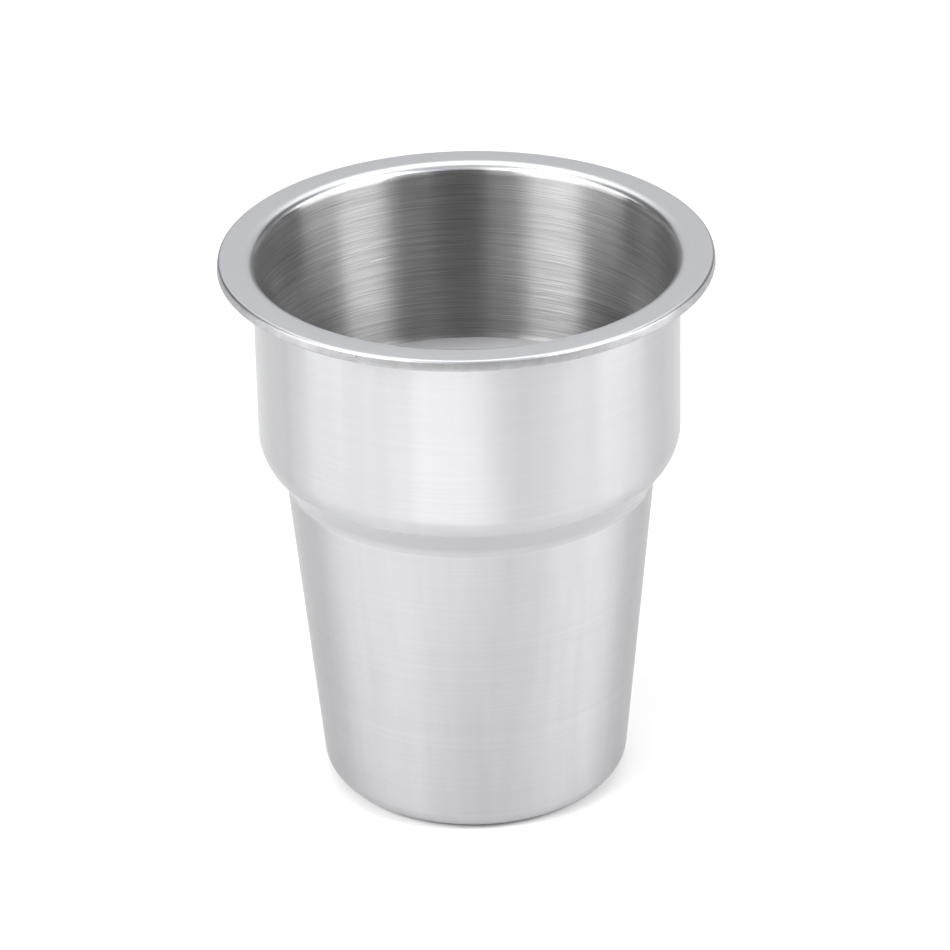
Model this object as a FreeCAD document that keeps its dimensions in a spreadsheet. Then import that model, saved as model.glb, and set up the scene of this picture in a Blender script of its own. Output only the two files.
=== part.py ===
# Soup kettle inset: a stainless steel pot with a flange, which hangs in a round heated well.
# It is four pressings of thin sheet, butt welded edge to edge and ground flush:
# base pan, tapered lower wall, upper shell with neck, shoulder and band, and rim flange.
# Frame: origin at the centre of the underside, +Z up along the pot's axis. Millimetres.
import FreeCAD, Part
import math
import os

import Sketcher

doc = FreeCAD.newDocument("soup_kettle_inset")

# Driving dimensions. Radii are to the outer face of the sheet, and heights are from the underside.
# A corner's place is that of the sharp corner, before its rounding.
DIMENSIONS = [
    ("wall", 0.9),
    ("total_height", 219.3),
    ("flange_radius", 93.65),
    ("lip_depth", 3.9),
    ("lip_flare", 0.75),
    ("lip_round", 1.3),
    ("mouth_bend", 4.5),
    ("rim_collar", 1.5),
    ("band_radius", 80.4),
    ("shoulder_height", 142.6),
    ("shoulder_round", 14.9),
    ("neck_radius", 70.7),
    ("neck_height", 129.5),
    ("neck_round", 4.6),
    ("lower_seam", 124.0),
    ("base_seam", 43.5),
    ("base_radius", 58.3),
    ("base_round", 9.9),
]

sheet = doc.addObject("Spreadsheet::Sheet", "dims")
for row, (alias, value) in enumerate(DIMENSIONS, start=1):
    sheet.set(f"A{row}", alias)
    sheet.set(f"B{row}", str(value))
    sheet.setAlias(f"B{row}", alias)
doc.recompute()

# The tapered wall runs straight from the neck to the underside, so its radius at a seam follows.
TAPER = "(dims.neck_radius - dims.base_radius) / dims.neck_height"
LOWER_SEAM_RADIUS = f"dims.base_radius + {TAPER} * dims.lower_seam"
BASE_SEAM_RADIUS = f"dims.base_radius + {TAPER} * dims.base_seam"
RIM_SEAM = "dims.total_height - dims.mouth_bend - dims.rim_collar"
MOUTH_RADIUS = "dims.band_radius - dims.wall"

# Sketch numbers for the origin, the upright axis and a line's two ends.
ORIGIN_POINT = (-1, 1)
POT_AXIS = -2
START = 1
END = 2
ON_AXIS = "0"
FULL_TURN = 360


def start_pressing(name, seat_height):
    """Add a body that stands at seat_height, with an empty half profile on its XZ plane."""
    body = doc.addObject("PartDesign::Body", name)
    body.Label = name
    body.setExpression("Placement.Base.z", seat_height)
    sketch = body.newObject("Sketcher::SketchObject", f"{name}_profile")
    plane = next(feature for feature in body.Origin.OriginFeatures if feature.Role == "XZ_Plane")
    sketch.AttachmentSupport = [(plane, "")]
    sketch.MapMode = "FlatFace"
    return body, sketch


def bind(sketch, kind, geometry, expression):
    """Add a dimension to the profile and tie it to the sheet."""
    first_value = float(sketch.evalExpression(expression))
    index = sketch.addConstraint(Sketcher.Constraint(kind, *geometry, first_value))
    sketch.setExpression(f"Constraints[{index}]", expression)


def place_corner(sketch, line, radius, height):
    """Tie the start of a line to a radius and a height, or to the pot's axis."""
    if radius == ON_AXIS:
        sketch.addConstraint(Sketcher.Constraint("PointOnObject", line, START, POT_AXIS))
    else:
        bind(sketch, "DistanceX", (*ORIGIN_POINT, line, START), radius)
    bind(sketch, "DistanceY", (*ORIGIN_POINT, line, START), height)


def draw_section(sketch, face, back):
    """Draw the sheet's cut section: one face through corners tied to the sheet, and its back.

    The back's corners, named from the end of the face to its start, are first guesses: each back
    line is kept parallel to its face line, one wall thickness away, and the seams are kept level.
    Return each corner's name with the number of the line that starts there.
    """
    corners = {**face, **back}
    guesses = [
        FreeCAD.Vector(float(sketch.evalExpression(radius)), float(sketch.evalExpression(height)), 0)
        for radius, height in corners.values()
    ]
    count = len(guesses)
    for line in range(count):
        sketch.addGeometry(Part.LineSegment(guesses[line], guesses[(line + 1) % count]))
    for line in range(count):
        sketch.addConstraint(Sketcher.Constraint("Coincident", line, END, (line + 1) % count, START))
    for line, (radius, height) in enumerate(face.values()):
        place_corner(sketch, line, radius, height)
    closing_edge = count - 1
    far_edge = len(face) - 1
    for face_line in range(far_edge):
        back_line = closing_edge - 1 - face_line
        sketch.addConstraint(Sketcher.Constraint("Parallel", back_line, face_line))
        bind(sketch, "Distance", (back_line, START, face_line), "dims.wall")
    far_radius, _ = list(face.values())[far_edge]
    if far_radius == ON_AXIS:
        sketch.addConstraint(Sketcher.Constraint("PointOnObject", far_edge, END, POT_AXIS))
    else:
        sketch.addConstraint(Sketcher.Constraint("Horizontal", far_edge))
    sketch.addConstraint(Sketcher.Constraint("Horizontal", closing_edge))
    return {name: line for line, name in enumerate(corners)}


def revolve(body, sketch):
    """Turn the half profile once round the pot's axis."""
    turned = body.newObject("PartDesign::Revolution", f"{body.Label}_turned")
    turned.Profile = sketch
    turned.ReferenceAxis = (sketch, ["V_Axis"])
    turned.Angle = FULL_TURN
    doc.recompute()


def round_corner(body, sketch, line, radius):
    """Round the turned edge that the corner at the start of a profile line makes."""
    corner = sketch.getPoint(line, START)
    base = body.Tip
    edges = base.Shape.Edges

    def distance_from_corner(number):
        curve = edges[number].Curve
        if not isinstance(curve, Part.Circle):
            return math.inf
        return abs(curve.Radius - corner.x) + abs(curve.Center.z - corner.y)

    nearest = min(range(len(edges)), key=distance_from_corner)
    rounded = body.newObject("PartDesign::Fillet", f"{body.Label}_round_{line}")
    rounded.Base = (base, [f"Edge{nearest + 1}"])
    rounded.setExpression("Radius", radius)
    doc.recompute()


# Base pan: flat floor, rounded corner and a short tapered wall up to the base seam.
base_pan, profile = start_pressing("base_pan", "0")
corners = draw_section(
    profile,
    face={
        "seam_outside": (BASE_SEAM_RADIUS, "dims.base_seam"),
        "corner_outside": ("dims.base_radius", "0"),
        "centre_below": (ON_AXIS, "0"),
    },
    back={
        "centre_above": (ON_AXIS, "dims.wall"),
        "corner_inside": ("dims.base_radius - dims.wall", "dims.wall"),
        "seam_inside": (f"{BASE_SEAM_RADIUS} - dims.wall", "dims.base_seam"),
    },
)
revolve(base_pan, profile)
round_corner(base_pan, profile, corners["corner_outside"], "dims.base_round")
round_corner(base_pan, profile, corners["corner_inside"], "dims.base_round - dims.wall")

# Lower wall: a plain tapered tube between the base seam and the lower seam.
lower_wall, profile = start_pressing("lower_wall", "dims.base_seam")
LOWER_WALL_HEIGHT = "dims.lower_seam - dims.base_seam"
draw_section(
    profile,
    face={
        "top_outside": (LOWER_SEAM_RADIUS, LOWER_WALL_HEIGHT),
        "foot_outside": (BASE_SEAM_RADIUS, "0"),
    },
    back={
        "foot_inside": (f"{BASE_SEAM_RADIUS} - dims.wall", "0"),
        "top_inside": (f"{LOWER_SEAM_RADIUS} - dims.wall", LOWER_WALL_HEIGHT),
    },
)
revolve(lower_wall, profile)

# Upper shell: short neck, sloping shoulder and the straight band that stands in the well.
upper_shell, profile = start_pressing("upper_shell", "dims.lower_seam")
BAND_TOP = f"{RIM_SEAM} - dims.lower_seam"
SHOULDER = "dims.shoulder_height - dims.lower_seam"
NECK = "dims.neck_height - dims.lower_seam"
corners = draw_section(
    profile,
    face={
        "band_outside": ("dims.band_radius", BAND_TOP),
        "shoulder_outside": ("dims.band_radius", SHOULDER),
        "neck_outside": ("dims.neck_radius", NECK),
        "foot_outside": (LOWER_SEAM_RADIUS, "0"),
    },
    back={
        "foot_inside": (f"{LOWER_SEAM_RADIUS} - dims.wall", "0"),
        "neck_inside": ("dims.neck_radius - dims.wall", NECK),
        "shoulder_inside": (MOUTH_RADIUS, SHOULDER),
        "band_inside": (MOUTH_RADIUS, BAND_TOP),
    },
)
revolve(upper_shell, profile)
round_corner(upper_shell, profile, corners["shoulder_outside"], "dims.shoulder_round")
round_corner(upper_shell, profile, corners["shoulder_inside"], "dims.shoulder_round - dims.wall")
round_corner(upper_shell, profile, corners["neck_outside"], "dims.neck_round")
round_corner(upper_shell, profile, corners["neck_inside"], "dims.neck_round + dims.wall")

# Rim flange: a short collar bends outwards into a flat ring, whose edge is turned down as a lip.
rim_flange, profile = start_pressing("rim_flange", RIM_SEAM)
FLANGE_TOP = "dims.rim_collar + dims.mouth_bend"
LIP_TOP_RADIUS = "dims.flange_radius - dims.lip_flare"
LIP_FOOT = f"{FLANGE_TOP} - dims.lip_depth"
corners = draw_section(
    profile,
    face={
        "lip_foot_outside": ("dims.flange_radius", LIP_FOOT),
        "lip_top_outside": (LIP_TOP_RADIUS, FLANGE_TOP),
        "mouth_above": (MOUTH_RADIUS, FLANGE_TOP),
        "collar_inside": (MOUTH_RADIUS, "0"),
    },
    back={
        "collar_outside": ("dims.band_radius", "0"),
        "mouth_below": ("dims.band_radius", f"{FLANGE_TOP} - dims.wall"),
        "lip_top_inside": (f"{LIP_TOP_RADIUS} - dims.wall", f"{FLANGE_TOP} - dims.wall"),
        "lip_foot_inside": ("dims.flange_radius - dims.wall", LIP_FOOT),
    },
)
revolve(rim_flange, profile)
round_corner(rim_flange, profile, corners["mouth_above"], "dims.mouth_bend")
round_corner(rim_flange, profile, corners["mouth_below"], "dims.mouth_bend - dims.wall")
round_corner(rim_flange, profile, corners["lip_top_outside"], "dims.lip_round")
round_corner(rim_flange, profile, corners["lip_top_inside"], "dims.lip_round - dims.wall")

doc.recompute()
for item in doc.Objects:
    if "Invalid" in item.State or "Error" in item.State:
        raise RuntimeError(f"{item.Label} failed: {item.State}")

pressings = [base_pan, lower_wall, upper_shell, rim_flange]
for pressing in pressings:
    if pressing.Shape.isNull() or not pressing.Shape.isValid():
        raise RuntimeError(f"{pressing.Label} has no valid solid")

os.makedirs("parts", exist_ok=True)
for pressing in pressings:
    pressing.Shape.exportStep(f"parts/{pressing.Label}.step")
    box = pressing.Shape.optimalBoundingBox(False)
    print(f"{pressing.Label}: {pressing.Shape.Volume:.0f} mm3, z {box.ZMin:.2f} to {box.ZMax:.2f}")
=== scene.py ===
import math

import bpy
from mathutils import Matrix, Vector


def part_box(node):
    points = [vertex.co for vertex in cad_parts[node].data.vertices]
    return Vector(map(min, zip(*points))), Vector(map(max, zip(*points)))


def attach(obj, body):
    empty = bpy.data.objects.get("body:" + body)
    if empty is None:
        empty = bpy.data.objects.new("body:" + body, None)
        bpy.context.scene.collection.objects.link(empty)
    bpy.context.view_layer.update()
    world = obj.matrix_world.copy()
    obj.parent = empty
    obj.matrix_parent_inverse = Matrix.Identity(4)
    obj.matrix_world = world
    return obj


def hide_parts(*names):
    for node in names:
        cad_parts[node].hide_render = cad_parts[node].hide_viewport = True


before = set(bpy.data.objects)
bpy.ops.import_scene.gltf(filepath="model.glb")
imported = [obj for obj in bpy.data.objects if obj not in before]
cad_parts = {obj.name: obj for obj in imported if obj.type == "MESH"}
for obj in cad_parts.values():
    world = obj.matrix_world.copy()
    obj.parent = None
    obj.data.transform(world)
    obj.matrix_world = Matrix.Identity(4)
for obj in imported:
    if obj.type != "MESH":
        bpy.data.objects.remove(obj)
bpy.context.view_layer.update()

# Base pan: the foot of the pot, with a flat floor, a rounded corner and a short tapered wall.
# It is pressed from thin stainless sheet and butt welded to the lower wall, and the seam is ground
# flush. Outside it has the press shop's satin finish, inside it is brushed round and round.
MM = 0.001
SHEET = 0.9 * MM
ROUND_STEPS = 512
BASE_RADIUS = 58.3 * MM
BASE_ROUND = 9.9 * MM
BASE_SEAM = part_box("base_pan")[1].z
NECK_RADIUS = 70.7 * MM
NECK_HEIGHT = 129.5 * MM
TAPER = (NECK_RADIUS - BASE_RADIUS) / NECK_HEIGHT
TAPER_ANGLE = math.atan(TAPER)
BASE_SEAM_RADIUS = BASE_RADIUS + TAPER * BASE_SEAM
FLOOR_PIP = 2 * MM
WELD_WIDTH = 1.2 * MM
SMOOTH_ANGLE = math.radians(40)


def raise_rings(name, rings):
    """Start from a ring of edges and extrude it to each next ring, given as radius and height."""
    bpy.ops.object.select_all(action="DESELECT")
    radius, height = rings[0]
    bpy.ops.mesh.primitive_circle_add(vertices=ROUND_STEPS, radius=radius, location=(0, 0, height))
    piece = bpy.context.object
    piece.name = name
    bpy.ops.object.transform_apply(location=True)
    bpy.ops.object.mode_set(mode="EDIT")
    bpy.ops.mesh.select_all(action="SELECT")
    for next_radius, next_height in rings[1:]:
        rise = (0, 0, next_height - height)
        bpy.ops.mesh.extrude_edges_move(TRANSFORM_OT_translate={"value": rise})
        spread = next_radius / radius
        bpy.ops.transform.resize(value=(spread, spread, 1), center_override=(0, 0, next_height))
        radius, height = next_radius, next_height
    return piece


def select_ring(piece, radius, height):
    """Select the edges of the ring at that radius and height, and nothing else."""
    bpy.ops.object.mode_set(mode="OBJECT")
    mesh = piece.data
    near = 0.01 * MM
    for vertex in mesh.vertices:
        off_radius = abs(math.hypot(vertex.co.x, vertex.co.y) - radius)
        vertex.select = off_radius < near and abs(vertex.co.z - height) < near
    for edge in mesh.edges:
        edge.select = all(mesh.vertices[end].select for end in edge.vertices)
    for face in mesh.polygons:
        face.select = False
    bpy.ops.object.mode_set(mode="EDIT")


def round_ring(piece, radius, height, bend, turn, steps):
    """Round the corner at a ring to a bend radius, where the sheet turns by an angle."""
    select_ring(piece, radius, height)
    bpy.ops.mesh.bevel(offset=bend * math.tan(turn / 2), segments=steps, affect="EDGES")


def thicken(piece, materials):
    """Face the sheet outwards, give it its thickness behind, and finish front and back."""
    bpy.ops.mesh.select_all(action="SELECT")
    bpy.ops.mesh.remove_doubles(threshold=0.001 * MM)
    bpy.ops.mesh.normals_make_consistent(inside=False)
    bpy.ops.object.mode_set(mode="OBJECT")
    for material in materials:
        piece.data.materials.append(material)
    sheet = piece.modifiers.new("sheet", "SOLIDIFY")
    sheet.thickness = SHEET
    sheet.offset = -1
    sheet.use_even_offset = True
    sheet.material_offset = 1
    bpy.ops.object.modifier_apply(modifier=sheet.name)
    bpy.ops.object.shade_smooth_by_angle(angle=SMOOTH_ANGLE)


def linear(hex_colour):
    """Turn an sRGB hex value into linear red, green and blue, with full alpha."""
    channels = [int(hex_colour[at:at + 2], 16) / 255 for at in (1, 3, 5)]
    return [c / 12.92 if c <= 0.04045 else ((c + 0.055) / 1.055) ** 2.4 for c in channels] + [1.0]


def add_node(tree, kind, inputs=None, **settings):
    """Add a node with its settings, and link or set its inputs."""
    node = tree.nodes.new(kind)
    for name, value in settings.items():
        setattr(node, name, value)
    for socket, value in (inputs or {}).items():
        if isinstance(value, bpy.types.NodeSocket):
            tree.links.new(value, node.inputs[socket])
        else:
            node.inputs[socket].default_value = value
    return node


def polish_lines(tree, length, width, lean=0.0):
    """Streaks round the pot, as wide and about as long as given, that lean a little as they cross it."""
    place = add_node(tree, "ShaderNodeTexCoord").outputs["Object"]
    across = add_node(tree, "ShaderNodeVectorMath", {0: place, 1: (1, 1, 0)}, operation="MULTIPLY")
    radius = add_node(tree, "ShaderNodeVectorMath", {0: across.outputs[0]}, operation="LENGTH")
    parts = add_node(tree, "ShaderNodeSeparateXYZ", {0: place})
    along = add_node(tree, "ShaderNodeMath", {0: radius.outputs["Value"], 1: parts.outputs["Z"]})
    leant = add_node(tree, "ShaderNodeMath", {
        0: parts.outputs["X"], 1: lean, 2: along.outputs[0]}, operation="MULTIPLY_ADD")
    climb = add_node(tree, "ShaderNodeMath", {0: leant.outputs[0], 1: 1 / width}, operation="MULTIPLY")
    stretched = add_node(tree, "ShaderNodeVectorMath", {
        0: across.outputs[0], 1: (1 / length,) * 3}, operation="MULTIPLY")
    rise = add_node(tree, "ShaderNodeCombineXYZ", {"Z": climb.outputs[0]})
    point = add_node(tree, "ShaderNodeVectorMath", {0: stretched.outputs[0], 1: rise.outputs[0]})
    noise = add_node(tree, "ShaderNodeTexNoise", {"Vector": point.outputs[0], "Scale": 1.0, "Detail": 1.0})
    return noise.outputs["Fac"]


def draw_marks(tree, width, length):
    """Faint upright marks, where the sheet slid over the press tool."""
    place = add_node(tree, "ShaderNodeTexCoord").outputs["Object"]
    scales = (1 / width, 1 / width, 1 / length)
    point = add_node(tree, "ShaderNodeVectorMath", {0: place, 1: scales}, operation="MULTIPLY")
    noise = add_node(tree, "ShaderNodeTexNoise", {"Vector": point.outputs[0], "Scale": 1.0, "Detail": 1.0})
    return noise.outputs["Fac"]


def new_steel(name):
    """A material with an empty node tree, its output and a bare metal shader."""
    material = bpy.data.materials.new(name)
    material.use_nodes = True
    tree = material.node_tree
    tree.nodes.clear()
    shader = add_node(tree, "ShaderNodeBsdfPrincipled", {"Metallic": 1.0})
    add_node(tree, "ShaderNodeOutputMaterial", {"Surface": shader.outputs[0]})
    return material, tree, shader


# Satin stainless steel, polished round the pot after pressing: pale, its light smeared upwards and
# downwards by the hairlines, with fainter upright draw marks. The hairlines are really under 0.1 mm
# wide, and are drawn coarser so that they show. Above the neck it was polished further and is glossier.
# A faint paler ring is painted on the ground base seam: painted reflection of the edge of the table's shade
# near the foot.
satin_steel, tree, shader = new_steel("satin_stainless_steel")
hairlines = polish_lines(tree, 120 * MM, 0.7 * MM)
marks = draw_marks(tree, 5 * MM, 260 * MM)
worn = add_node(tree, "ShaderNodeMath", {0: hairlines, 1: marks})
shade = add_node(tree, "ShaderNodeMapRange", {0: worn.outputs[0], 1: 0.4, 2: 1.6})
tone = add_node(tree, "ShaderNodeMix", {
    0: shade.outputs[0], 6: linear("#ababad"), 7: linear("#b6b6b8")}, data_type="RGBA")
place = add_node(tree, "ShaderNodeTexCoord").outputs["Object"]
level = add_node(tree, "ShaderNodeSeparateXYZ", {0: place}).outputs["Z"]
off_seam = add_node(tree, "ShaderNodeMath", {0: level, 1: BASE_SEAM}, operation="SUBTRACT")
gap = add_node(tree, "ShaderNodeMath", {0: off_seam.outputs[0]}, operation="ABSOLUTE")
# Painted reflection: a faint paler ring on the base seam, for the mirrored edge of the table's shade near
# the foot.
seam_ring_painted_reflection = add_node(tree, "ShaderNodeMapRange", {0: gap.outputs[0], 1: 0.0, 2: WELD_WIDTH, 3: 0.25, 4: 0.0})
tone_with_painted_ring = add_node(tree, "ShaderNodeMix", {
    0: seam_ring_painted_reflection.outputs[0], 6: tone.outputs[2], 7: linear("#bbbbbd")}, data_type="RGBA")
tree.links.new(tone_with_painted_ring.outputs[2], shader.inputs["Base Color"])
glossy = add_node(tree, "ShaderNodeMapRange", {0: shade.outputs[0], 3: 0.25, 4: 0.27})
below = add_node(tree, "ShaderNodeMath", {0: level, 1: NECK_HEIGHT}, operation="LESS_THAN")
rough = add_node(tree, "ShaderNodeMath", {
    0: below.outputs[0], 1: 0.07, 2: glossy.outputs[0]}, operation="MULTIPLY_ADD")
tree.links.new(rough.outputs[0], shader.inputs["Roughness"])
shader.inputs["Anisotropic"].default_value = 0.9
shader.inputs["Anisotropic Rotation"].default_value = 0.25
tangent = add_node(tree, "ShaderNodeTangent", direction_type="RADIAL", axis="Z")
tree.links.new(tangent.outputs[0], shader.inputs["Tangent"])

# Brushed stainless steel: a coarse abrasive was run round the inside, so its light is smeared
# upwards and downwards in upright bands, and strokes of different lengths lie across them. Some
# strokes lean, and a few bright scratches cross the rest. They are drawn coarser, so that they show.
brushed_steel, tree, shader = new_steel("brushed_stainless_steel")
fine = polish_lines(tree, 24 * MM, 0.25 * MM)
coarse = polish_lines(tree, 80 * MM, 0.4 * MM, lean=0.02)
strokes = add_node(tree, "ShaderNodeMix", {0: 0.5, 2: fine, 3: coarse})
depth = add_node(tree, "ShaderNodeMapRange", {0: strokes.outputs[0], 1: 0.32, 2: 0.68})
tone = add_node(tree, "ShaderNodeMix", {
    0: depth.outputs[0], 6: linear("#9e9ea0"), 7: linear("#cbcbca")}, data_type="RGBA")
crossing = polish_lines(tree, 20 * MM, 0.3 * MM, lean=-0.05)
scratch = add_node(tree, "ShaderNodeMapRange", {0: crossing, 1: 0.66, 2: 0.78})
marked = add_node(tree, "ShaderNodeMix", {
    0: scratch.outputs[0], 6: tone.outputs[2], 7: linear("#dededc")}, data_type="RGBA")
tree.links.new(marked.outputs[2], shader.inputs["Base Color"])
rough = add_node(tree, "ShaderNodeMapRange", {0: fine, 1: 0.3, 2: 0.7, 3: 0.30, 4: 0.35})
tree.links.new(rough.outputs[0], shader.inputs["Roughness"])
bump = add_node(tree, "ShaderNodeBump", {
    "Height": strokes.outputs[0], "Distance": 0.012 * MM, "Strength": 0.5})
tree.links.new(bump.outputs[0], shader.inputs["Normal"])
shader.inputs["Anisotropic"].default_value = 1.0
shader.inputs["Anisotropic Rotation"].default_value = 0.25
tangent = add_node(tree, "ShaderNodeTangent", direction_type="RADIAL", axis="Z")
tree.links.new(tangent.outputs[0], shader.inputs["Tangent"])

base_pan = raise_rings("base_pan_shell", [
    (BASE_SEAM_RADIUS, BASE_SEAM),
    (BASE_RADIUS, 0),
    (FLOOR_PIP, 0),
])
bpy.ops.mesh.merge(type="CENTER")
round_ring(base_pan, BASE_RADIUS, 0, BASE_ROUND, math.pi / 2 - TAPER_ANGLE, 24)
thicken(base_pan, [satin_steel, brushed_steel])
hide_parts("base_pan")
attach(base_pan, "root")

# Lower wall: the tapered tube between the base pan and the neck, rolled from stainless sheet.
# It is butt welded at both ends, and the seams are ground flush.
LOWER_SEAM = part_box("lower_wall")[1].z
LOWER_SEAM_RADIUS = BASE_RADIUS + TAPER * LOWER_SEAM

lower_wall = raise_rings("lower_wall_tube", [
    (BASE_SEAM_RADIUS, BASE_SEAM),
    (LOWER_SEAM_RADIUS, LOWER_SEAM),
])
thicken(lower_wall, [satin_steel, brushed_steel])
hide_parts("lower_wall")
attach(lower_wall, "root")

# Upper shell: neck, sloping shoulder and the straight band, spun from stainless sheet.
# The band stands in the well and is butt welded to the lower wall below and the rim above.
BAND_RADIUS = 80.4 * MM
SHOULDER_HEIGHT = 142.6 * MM
SHOULDER_ROUND = 14.9 * MM
NECK_ROUND = 4.6 * MM
LEDGE_HEIGHT = 144.6 * MM
BELT_FOOT = 127 * MM
BELT_TOP = 139.8 * MM
RIM_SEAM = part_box("upper_shell")[1].z
SHOULDER_SLOPE = math.atan2(BAND_RADIUS - NECK_RADIUS, SHOULDER_HEIGHT - NECK_HEIGHT)


def matt_steel(name, dark, pale):
    """Matt stainless steel as it left the press, with a fine grain between two tones."""
    material, tree, shader = new_steel(name)
    grain = polish_lines(tree, 40 * MM, 0.5 * MM)
    tone = add_node(tree, "ShaderNodeMix", {0: grain, 6: linear(dark), 7: linear(pale)}, data_type="RGBA")
    tree.links.new(tone.outputs[2], shader.inputs["Base Color"])
    rough = add_node(tree, "ShaderNodeMapRange", {0: grain, 3: 0.62, 4: 0.70})
    tree.links.new(rough.outputs[0], shader.inputs["Roughness"])
    return material


# Matt stainless steel: the slope of the neck, where no brush or polishing wheel reached. Its fine grain
# spreads the light wide, so outside the slope is a duller belt under the glossy band. Inside, the ledge
# looks paler than the brushed wall above it. This is partly from that wide spread and partly painted
# highlight: its tones are set paler than the belt's, for the light it catches from overhead. The grain is
# drawn coarser, so that it shows.
# Painted highlight: the ledge gets paler tones than the belt, for the light from overhead that it catches.
ledge_steel_painted_highlight = matt_steel("matt_stainless_steel_ledge_painted_highlight", "#c4c4c6", "#d0d0d2")
belt_steel = matt_steel("matt_stainless_steel_belt", "#b0b0b2", "#b8b8ba")

upper_shell = raise_rings("upper_shell_band", [
    (LOWER_SEAM_RADIUS, LOWER_SEAM),
    (BASE_RADIUS + TAPER * BELT_FOOT, BELT_FOOT),
    (NECK_RADIUS, NECK_HEIGHT),
    (BAND_RADIUS, SHOULDER_HEIGHT),
    (BAND_RADIUS, RIM_SEAM),
])
round_ring(upper_shell, BAND_RADIUS, SHOULDER_HEIGHT, SHOULDER_ROUND, SHOULDER_SLOPE, 24)
round_ring(upper_shell, NECK_RADIUS, NECK_HEIGHT, NECK_ROUND, SHOULDER_SLOPE - TAPER_ANGLE, 8)
thicken(upper_shell, [satin_steel, brushed_steel, ledge_steel_painted_highlight, belt_steel])
for face in upper_shell.data.polygons:
    if face.material_index == 1 and face.center.z < LEDGE_HEIGHT:
        face.material_index = 2
    if face.material_index == 0 and BELT_FOOT < face.center.z < BELT_TOP:
        face.material_index = 3
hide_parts("upper_shell")
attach(upper_shell, "root")

# Rim flange: the mouth bends outwards into a flat ring, and its edge is turned down as a lip.
# It is pressed from stainless sheet, left satin, and its lip rests on the edge of the well. The lip
# was trimmed, then ground round on its outside.
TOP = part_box("rim_flange")[1].z
MOUTH_RADIUS = BAND_RADIUS - SHEET
MOUTH_BEND = 4.5 * MM
FLANGE_RADIUS = 93.65 * MM
LIP_DEPTH = 3.9 * MM
LIP_FLARE = 0.75 * MM
LIP_ROUND = 1.3 * MM
LIP_LEAN = math.atan2(LIP_FLARE, LIP_DEPTH)
LIP_FOOT_ROUND = 0.7 * MM
BRUSHED_REACH = 0.5 * MM
WIPED_FADE = 0.3 * MM
PIT_SPACING = 4.5 * MM
PIT_RADIUS = 0.4 * MM
BLOTCH_SIZE = 5 * MM

# Satin flange steel: fine abrasive left it even and matt, a little bluer than the walls. The lip's side is
# duller, with small dark pits, and is darkened in cloudy blotches: painted shade for the dim room that the
# lip mirrors.
flange_steel, tree, shader = new_steel("satin_stainless_flange")
hairlines = polish_lines(tree, 30 * MM, 0.4 * MM)
tone = add_node(tree, "ShaderNodeMix", {
    0: hairlines, 6: linear("#cacbcf"), 7: linear("#d0d1d5")}, data_type="RGBA")
place = add_node(tree, "ShaderNodeTexCoord").outputs["Object"]
across = add_node(tree, "ShaderNodeVectorMath", {0: place, 1: (1, 1, 0)}, operation="MULTIPLY")
radius = add_node(tree, "ShaderNodeVectorMath", {0: across.outputs[0]}, operation="LENGTH")
side = add_node(tree, "ShaderNodeMapRange", {
    0: radius.outputs["Value"], 1: FLANGE_RADIUS - LIP_FLARE - WIPED_FADE, 2: FLANGE_RADIUS - LIP_FLARE})
clouds = add_node(tree, "ShaderNodeTexNoise", {"Vector": place, "Scale": 1 / BLOTCH_SIZE, "Detail": 3.0})
cloudy = add_node(tree, "ShaderNodeMapRange", {0: clouds.outputs["Fac"], 1: 0.3, 2: 0.7, 3: 0.75})
specks = add_node(tree, "ShaderNodeTexVoronoi", {"Vector": place, "Scale": 1 / PIT_SPACING})
pits = add_node(tree, "ShaderNodeMapRange", {
    0: specks.outputs["Distance"], 1: PIT_RADIUS / PIT_SPACING, 2: 0.5 * PIT_RADIUS / PIT_SPACING})
lip_shade_clouds_mask = add_node(tree, "ShaderNodeMath", {0: side.outputs[0], 1: cloudy.outputs[0]}, operation="MULTIPLY")
pitted = add_node(tree, "ShaderNodeMath", {0: side.outputs[0], 1: pits.outputs[0]}, operation="MULTIPLY")
# Painted shade: the lip's side is darkened towards #9b9b9d in cloudy blotches, for the dim room it mirrors.
lip_side_painted_shade = add_node(tree, "ShaderNodeMix", {
    0: lip_shade_clouds_mask.outputs[0], 6: tone.outputs[2], 7: linear("#9b9b9d")}, data_type="RGBA")
marked = add_node(tree, "ShaderNodeMix", {
    0: pitted.outputs[0], 6: lip_side_painted_shade.outputs[2], 7: linear("#5c5c60")}, data_type="RGBA")
tree.links.new(marked.outputs[2], shader.inputs["Base Color"])
smooth = add_node(tree, "ShaderNodeMapRange", {0: hairlines, 3: 0.28, 4: 0.34})
rough = add_node(tree, "ShaderNodeMath", {
    0: lip_shade_clouds_mask.outputs[0], 1: 0.15, 2: smooth.outputs[0]}, operation="MULTIPLY_ADD")
tree.links.new(rough.outputs[0], shader.inputs["Roughness"])

rim_flange = raise_rings("rim_flange_ring", [
    (MOUTH_RADIUS, RIM_SEAM),
    (MOUTH_RADIUS, TOP),
    (FLANGE_RADIUS - LIP_FLARE, TOP),
    (FLANGE_RADIUS, TOP - LIP_DEPTH),
])
round_ring(rim_flange, MOUTH_RADIUS, TOP, MOUTH_BEND, math.pi / 2, 24)
round_ring(rim_flange, FLANGE_RADIUS - LIP_FLARE, TOP, LIP_ROUND, math.pi / 2 - LIP_LEAN, 12)
thicken(rim_flange, [flange_steel, satin_steel, brushed_steel])
for face in rim_flange.data.polygons:
    in_mouth = math.hypot(face.center.x, face.center.y) < MOUTH_RADIUS + BRUSHED_REACH
    if face.material_index == 0 and in_mouth:
        face.material_index = 2
round_ring(rim_flange, FLANGE_RADIUS, TOP - LIP_DEPTH, LIP_FOOT_ROUND, math.pi / 2, 6)
bpy.ops.object.mode_set(mode="OBJECT")
bpy.ops.object.shade_smooth_by_angle(angle=SMOOTH_ANGLE, keep_sharp_edges=False)
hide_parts("rim_flange")
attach(rim_flange, "root")

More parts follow.
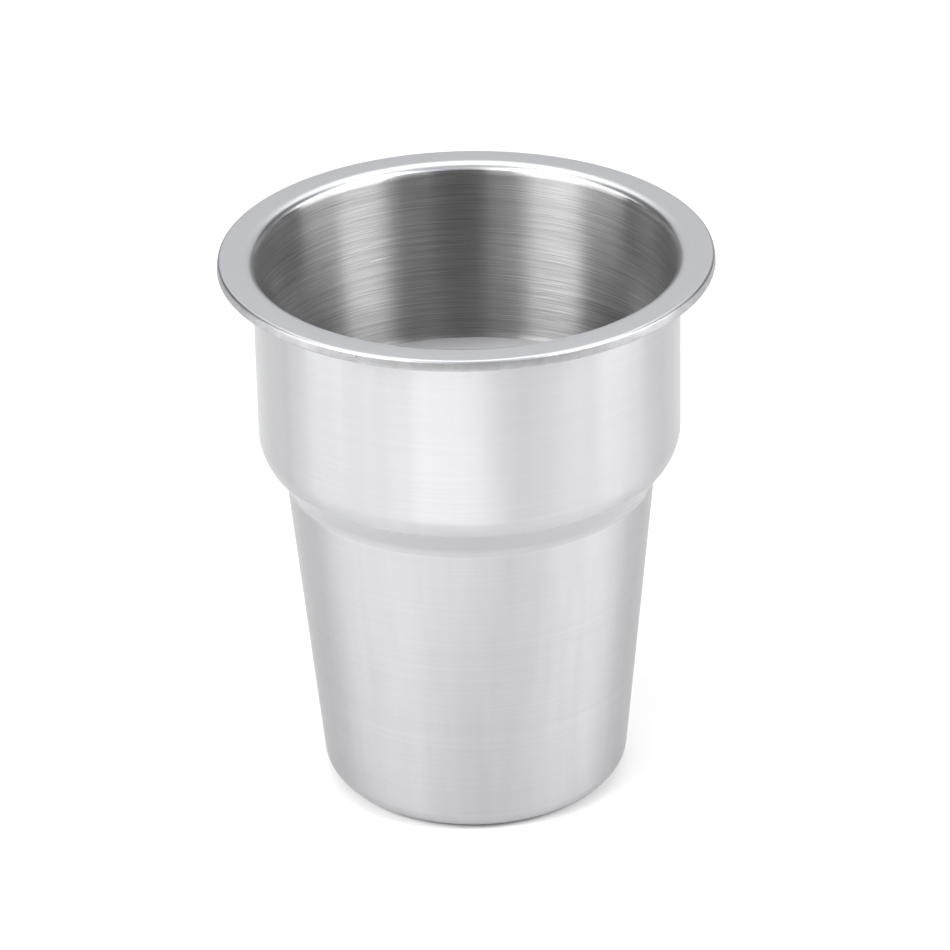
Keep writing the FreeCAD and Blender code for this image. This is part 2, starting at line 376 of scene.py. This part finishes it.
# Floor: a plain white table top, painted matt. The walls of the pot mirror it, and close to the foot
# it falls into shade, which the neck picks up.
FLOOR_RADIUS = 2.5
bpy.ops.object.select_all(action="DESELECT")
bpy.ops.mesh.primitive_circle_add(vertices=96, radius=FLOOR_RADIUS, fill_type="NGON")
floor = bpy.context.object
floor.name = "studio_floor"
floor_white = bpy.data.materials.new("matt_white_paint")
floor_white.use_nodes = True
tree = floor_white.node_tree
tree.nodes.clear()
shader = add_node(tree, "ShaderNodeBsdfPrincipled", {"Base Color": linear("#e6e6e6"), "Roughness": 0.9})
add_node(tree, "ShaderNodeOutputMaterial", {"Surface": shader.outputs[0]})
floor.data.materials.append(floor_white)

# Studio light: a soft box at each side in front draws the two upright bands inside the pot, and a dim
# reflector card hangs beside each. A wing lower down at each side draws the two bands outside. A card
# above the camera, a low one in front, a panel behind that the flange mirrors and a large one overhead
# fill in. A spot leaves a soft pool of light on the table in front, which the band mirrors as its
# bright middle. The room is dim, and the eye sees plain white behind the pot.
POT_MIDDLE = Vector((0, 0, 110)) * MM
ROOM_GLOW = 0.04
POOL_PLACE = Vector((-75, -460, 0)) * MM
POOL_LAMP = Vector((-75, -900, 1400)) * MM
POOL_CONE = math.radians(20)
POOL_WATTS = 115


def hang_soft_box(name, bearing, elevation, distance, width, height, watts):
    """Hang a lit panel that faces the pot, by bearing from the camera's side, growing to its right."""
    across = math.radians(bearing)
    up = math.radians(elevation)
    out = Vector((math.sin(across) * math.cos(up), -math.cos(across) * math.cos(up), math.sin(up)))
    bpy.ops.object.light_add(type="AREA", location=POT_MIDDLE + out * distance)
    lamp = bpy.context.object
    lamp.name = name
    lamp.rotation_euler = out.to_track_quat("Z", "Y").to_euler()
    lamp.data.shape = "RECTANGLE"
    lamp.data.size = width
    lamp.data.size_y = height
    lamp.data.energy = watts


hang_soft_box("left_soft_box", -52, 36, 1.5, 0.75, 0.8, 22)
hang_soft_box("left_card", -24, 30, 1.5, 0.50, 0.8, 2.6)
hang_soft_box("left_wing", -80, 16, 1.5, 0.80, 0.9, 8.5)
hang_soft_box("right_soft_box", 60, 36, 1.5, 0.62, 0.8, 16)
hang_soft_box("right_card", 32, 30, 1.5, 0.65, 0.8, 2.2)
hang_soft_box("right_wing", 84, 16, 1.5, 0.80, 0.9, 10.5)
hang_soft_box("front_card", 0, 56, 1.6, 0.80, 0.6, 1.0)
hang_soft_box("low_card", 0, 2, 1.8, 2.00, 0.34, 1.2)
hang_soft_box("back_panel", 180, 30, 1.6, 2.40, 1.3, 7)
hang_soft_box("top_panel", 180, 76, 1.6, 2.20, 1.6, 20)

bpy.ops.object.light_add(type="SPOT", location=POOL_LAMP)
pool = bpy.context.object
pool.name = "table_spot"
pool.rotation_euler = (POOL_LAMP - POOL_PLACE).to_track_quat("Z", "Y").to_euler()
pool.data.spot_size = POOL_CONE
pool.data.spot_blend = 1.0
pool.data.energy = POOL_WATTS

world = bpy.data.worlds.new("studio_room")
bpy.context.scene.world = world
world.use_nodes = True
tree = world.node_tree
tree.nodes.clear()
eye = add_node(tree, "ShaderNodeLightPath").outputs["Is Camera Ray"]
room = add_node(tree, "ShaderNodeBackground", {"Color": linear("#fbfcff"), "Strength": ROOM_GLOW})
white = add_node(tree, "ShaderNodeBackground", {"Color": linear("#ffffff"), "Strength": 1.0})
shown = add_node(tree, "ShaderNodeMixShader", {0: eye, 1: room.outputs[0], 2: white.outputs[0]})
add_node(tree, "ShaderNodeOutputWorld", {"Surface": shown.outputs[0]})
bpy.context.scene.view_settings.view_transform = "Standard"

# Camera: a long lens from two metres, looking down on the pot at the photograph's angle.
AIM = Vector((1.67, 0, 124.72)) * MM
CAMERA_HEIGHT_ANGLE = math.radians(27.61)
CAMERA_DISTANCE = 2000 * MM
CAMERA_ROLL = math.radians(-1.18)
camera_data = bpy.data.cameras.new("camera")
camera_data.sensor_width = 36
camera_data.lens = 197.9
camera_data.clip_end = 20
camera = bpy.data.objects.new("camera", camera_data)
bpy.context.collection.objects.link(camera)
away = Vector((0, -math.cos(CAMERA_HEIGHT_ANGLE), math.sin(CAMERA_HEIGHT_ANGLE)))
turn = Matrix.Rotation(math.pi / 2 - CAMERA_HEIGHT_ANGLE, 4, "X") @ Matrix.Rotation(CAMERA_ROLL, 4, "Z")
camera.matrix_world = Matrix.Translation(AIM + away * CAMERA_DISTANCE) @ turn
bpy.context.scene.camera = camera
